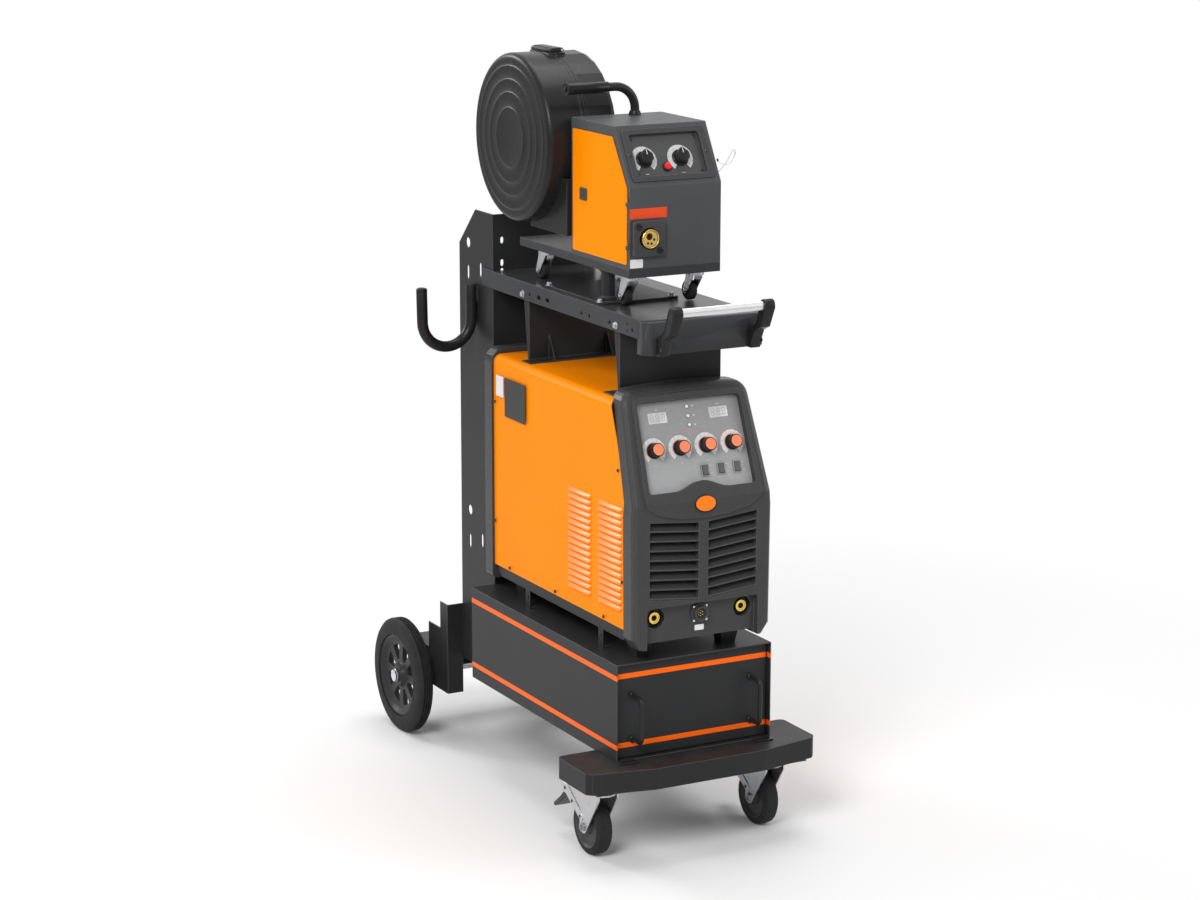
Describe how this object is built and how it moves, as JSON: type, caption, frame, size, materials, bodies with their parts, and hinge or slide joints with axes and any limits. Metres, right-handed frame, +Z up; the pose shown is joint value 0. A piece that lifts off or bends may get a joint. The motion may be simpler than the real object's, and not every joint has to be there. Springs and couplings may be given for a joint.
{
  "type": "mig welder on cart",
  "caption": "Mobile welding machine: power source on a drawer cabinet cart with gas bottle platform, and a wire feeder with spool cover on the shelf above it.",
  "frame": {"origin": "middle of the bounding box at floor level", "axes": "+Z up; the machine's front with its controls faces -Y; the feeder's door and the hose hook are on -X"},
  "size_m": [0.558, 1.2858, 1.6724],
  "materials": {
    "black_powder": "satin",
    "black_plastic": "satin",
    "orange_paint": "gloss",
    "grey_plate": "satin",
    "zinc": "satin",
    "bright_steel": "polished",
    "brass": "satin",
    "black_rubber": "matte",
    "red_plastic": "gloss",
    "copper_wire": "satin"
  },
  "bodies": {
    "cart": {"front_platform": "black_powder", "cabinet_shell": "black_powder", "column": "black_powder", "axle_carrier": "black_powder", "rear_axle": "bright_steel", "hose_hook": "black_powder", "shelf": "black_powder", "shelf_support_front": "black_powder", "shelf_support_rear": "black_powder", "push_handle": "black_plastic", "pivot_post": "black_powder", "source_base": "black_powder", "source_cover": "orange_paint", "source_rear_bezel": "black_plastic", "source_front_bezel": "black_plastic", "source_control_panel": "grey_plate", "source_socket_left": "brass", "source_socket_right": "brass", "remote_connector": "black_plastic"},
    "rear_wheel_left": {"rear_rim_left": "black_plastic", "rear_tyre_left": "black_rubber"},
    "rear_wheel_right": {"rear_rim_right": "black_plastic", "rear_tyre_right": "black_rubber"},
    "caster_left": {"caster_fork_left": "zinc"},
    "caster_right": {"caster_fork_right": "zinc"},
    "caster_roller_left": {"caster_wheel_left": "black_rubber"},
    "caster_roller_right": {"caster_wheel_right": "black_rubber"},
    "brake_left": {"brake_pedal_left": "black_plastic"},
    "brake_right": {"brake_pedal_right": "black_plastic"},
    "drawer": {"drawer": "black_powder"},
    "feeder": {"feeder_pan": "black_powder", "feeder_case": "black_powder", "feeder_control_panel": "black_plastic", "euro_socket": "black_plastic", "feeder_handle": "black_rubber", "wire_drive": "zinc", "spool_cover_base": "black_plastic"},
    "feeder_door": {"feeder_door": "orange_paint"},
    "feeder_door_latch": {"feeder_door_latch": "black_plastic"},
    "spool_lid": {"spool_cover_lid": "black_plastic"},
    "spool_latch": {"spool_cover_latch": "black_plastic"},
    "spool": {"wire_spool": "copper_wire"},
    "feeder_button": {"feeder_button": "red_plastic"},
    "source_knob_1": {"source_knob_1": "black_plastic"},
    "feeder_caster_1": {"feeder_fork_1": "zinc"},
    "feeder_roller_1": {"feeder_wheel_1": "black_rubber"},
    "source_knob_2": {"source_knob_2": "black_plastic"},
    "feeder_caster_2": {"feeder_fork_2": "zinc"},
    "feeder_roller_2": {"feeder_wheel_2": "black_rubber"},
    "source_knob_3": {"source_knob_3": "black_plastic"},
    "feeder_caster_3": {"feeder_fork_3": "zinc"},
    "feeder_roller_3": {"feeder_wheel_3": "black_rubber"},
    "source_knob_4": {"source_knob_4": "black_plastic"},
    "feeder_caster_4": {"feeder_fork_4": "zinc"},
    "feeder_roller_4": {"feeder_wheel_4": "black_rubber"},
    "source_switch_1": {"source_switch_1": "black_plastic"},
    "source_switch_2": {"source_switch_2": "black_plastic"},
    "source_switch_3": {"source_switch_3": "black_plastic"},
    "feeder_knob_1": {"feeder_knob_1": "black_plastic"},
    "feeder_knob_2": {"feeder_knob_2": "black_plastic"}
  },
  "joints": [
    {"name": "rear_wheel_left_roll", "type": "hinge", "parent": "cart", "child": "rear_wheel_left", "pos_m": [-0.2085, 0.5054, 0.1375], "axis": [1, 0, 0], "continuous": true},
    {"name": "caster_left_swivel", "type": "hinge", "parent": "cart", "child": "caster_left", "pos_m": [-0.2055, -0.4986, 0.1597], "axis": [0, 0, 1], "continuous": true},
    {"name": "caster_left_roll", "type": "hinge", "parent": "caster_left", "child": "caster_roller_left", "pos_m": [-0.2055, -0.4586, 0.0625], "axis": [1, 0, 0], "continuous": true},
    {"name": "brake_left_tip", "type": "hinge", "parent": "caster_left", "child": "brake_left", "pos_m": [-0.2055, -0.4106, 0.119], "axis": [-1, 0, 0], "range_deg": [0, 12]},
    {"name": "rear_wheel_right_roll", "type": "hinge", "parent": "cart", "child": "rear_wheel_right", "pos_m": [0.2085, 0.5054, 0.1375], "axis": [1, 0, 0], "continuous": true},
    {"name": "caster_right_swivel", "type": "hinge", "parent": "cart", "child": "caster_right", "pos_m": [0.2055, -0.4986, 0.1597], "axis": [0, 0, 1], "continuous": true},
    {"name": "caster_right_roll", "type": "hinge", "parent": "caster_right", "child": "caster_roller_right", "pos_m": [0.2055, -0.4586, 0.0625], "axis": [1, 0, 0], "continuous": true},
    {"name": "brake_right_tip", "type": "hinge", "parent": "caster_right", "child": "brake_right", "pos_m": [0.2055, -0.4106, 0.119], "axis": [-1, 0, 0], "range_deg": [0, 12]},
    {"name": "drawer_slide", "type": "slide", "parent": "cart", "child": "drawer", "axis": [0, -1, 0], "range_m": [0, 0.45]},
    {"name": "feeder_swing", "type": "hinge", "parent": "cart", "child": "feeder", "pos_m": [-0.092, -0.3116, 1.2309], "axis": [0, 0, 1], "range_deg": [-8, 8]},
    {"name": "feeder_caster_1_swivel", "type": "hinge", "parent": "feeder", "child": "feeder_caster_1", "pos_m": [-0.078, -0.3816, 1.2306], "axis": [0, 0, 1], "continuous": true},
    {"name": "feeder_caster_1_roll", "type": "hinge", "parent": "feeder_caster_1", "child": "feeder_roller_1", "pos_m": [-0.078, -0.3596, 1.1822], "axis": [1, 0, 0], "continuous": true},
    {"name": "feeder_caster_2_swivel", "type": "hinge", "parent": "feeder", "child": "feeder_caster_2", "pos_m": [0.078, -0.3816, 1.2306], "axis": [0, 0, 1], "continuous": true},
    {"name": "feeder_caster_2_roll", "type": "hinge", "parent": "feeder_caster_2", "child": "feeder_roller_2", "pos_m": [0.078, -0.3596, 1.1822], "axis": [1, 0, 0], "continuous": true},
    {"name": "feeder_caster_3_swivel", "type": "hinge", "parent": "feeder", "child": "feeder_caster_3", "pos_m": [-0.078, -0.0016, 1.2306], "axis": [0, 0, 1], "continuous": true},
    {"name": "feeder_caster_3_roll", "type": "hinge", "parent": "feeder_caster_3", "child": "feeder_roller_3", "pos_m": [-0.078, 0.0204, 1.1822], "axis": [1, 0, 0], "continuous": true},
    {"name": "feeder_caster_4_swivel", "type": "hinge", "parent": "feeder", "child": "feeder_caster_4", "pos_m": [0.078, -0.0016, 1.2306], "axis": [0, 0, 1], "continuous": true},
    {"name": "feeder_caster_4_roll", "type": "hinge", "parent": "feeder_caster_4", "child": "feeder_roller_4", "pos_m": [0.078, 0.0204, 1.1822], "axis": [1, 0, 0], "continuous": true},
    {"name": "feeder_door_hinge", "type": "hinge", "parent": "feeder", "child": "feeder_door", "pos_m": [-0.1122, -0.4283, 1.3348], "axis": [0, 0, 1], "range_deg": [0, 110]},
    {"name": "feeder_door_latch_slide", "type": "slide", "parent": "feeder_door", "child": "feeder_door_latch", "axis": [0, -1, 0], "range_m": [0, 0.008]},
    {"name": "spool_lid_hinge", "type": "hinge", "parent": "feeder", "child": "spool_lid", "pos_m": [-0.065, 0.2009, 1.4784], "axis": [0, 0, -1], "range_deg": [0, 100]},
    {"name": "spool_latch_lift", "type": "hinge", "parent": "feeder", "child": "spool_latch", "pos_m": [-0.056, 0.0134, 1.6672], "axis": [0, 1, 0], "range_deg": [0, 60]},
    {"name": "spool_turn", "type": "hinge", "parent": "feeder", "child": "spool", "pos_m": [-0.077, 0.0134, 1.4784], "axis": [1, 0, 0], "continuous": true},
    {"name": "source_knob_1_turn", "type": "hinge", "parent": "cart", "child": "source_knob_1", "pos_m": [-0.09375, -0.5166, 0.88009], "axis": [0, -0.9367, 0.3502], "range_deg": [-135, 135]},
    {"name": "source_knob_2_turn", "type": "hinge", "parent": "cart", "child": "source_knob_2", "pos_m": [-0.03125, -0.5166, 0.88009], "axis": [0, -0.9367, 0.3502], "range_deg": [-135, 135]},
    {"name": "source_knob_3_turn", "type": "hinge", "parent": "cart", "child": "source_knob_3", "pos_m": [0.03125, -0.5166, 0.88009], "axis": [0, -0.9367, 0.3502], "range_deg": [-135, 135]},
    {"name": "source_knob_4_turn", "type": "hinge", "parent": "cart", "child": "source_knob_4", "pos_m": [0.09375, -0.5166, 0.88009], "axis": [0, -0.9367, 0.3502], "range_deg": [-135, 135]},
    {"name": "source_switch_1_tip", "type": "hinge", "parent": "cart", "child": "source_switch_1", "pos_m": [0.018, -0.53621, 0.83191], "axis": [1, 0, 0], "range_deg": [-8, 8]},
    {"name": "source_switch_2_tip", "type": "hinge", "parent": "cart", "child": "source_switch_2", "pos_m": [0.057, -0.53621, 0.83191], "axis": [1, 0, 0], "range_deg": [-8, 8]},
    {"name": "source_switch_3_tip", "type": "hinge", "parent": "cart", "child": "source_switch_3", "pos_m": [0.096, -0.53621, 0.83191], "axis": [1, 0, 0], "range_deg": [-8, 8]},
    {"name": "feeder_knob_1_turn", "type": "hinge", "parent": "feeder", "child": "feeder_knob_1", "pos_m": [-0.0555, -0.3981, 1.47077], "axis": [0, -0.8691, 0.4947], "range_deg": [-135, 135]},
    {"name": "feeder_knob_2_turn", "type": "hinge", "parent": "feeder", "child": "feeder_knob_2", "pos_m": [0.0302, -0.3986, 1.4699], "axis": [0, -0.8691, 0.4947], "range_deg": [-135, 135]},
    {"name": "feeder_button_push", "type": "slide", "parent": "feeder", "child": "feeder_button", "axis": [0, 0.8691, -0.4947], "range_m": [0, 0.002], "stiffness_N_per_m": 300}
  ]
}
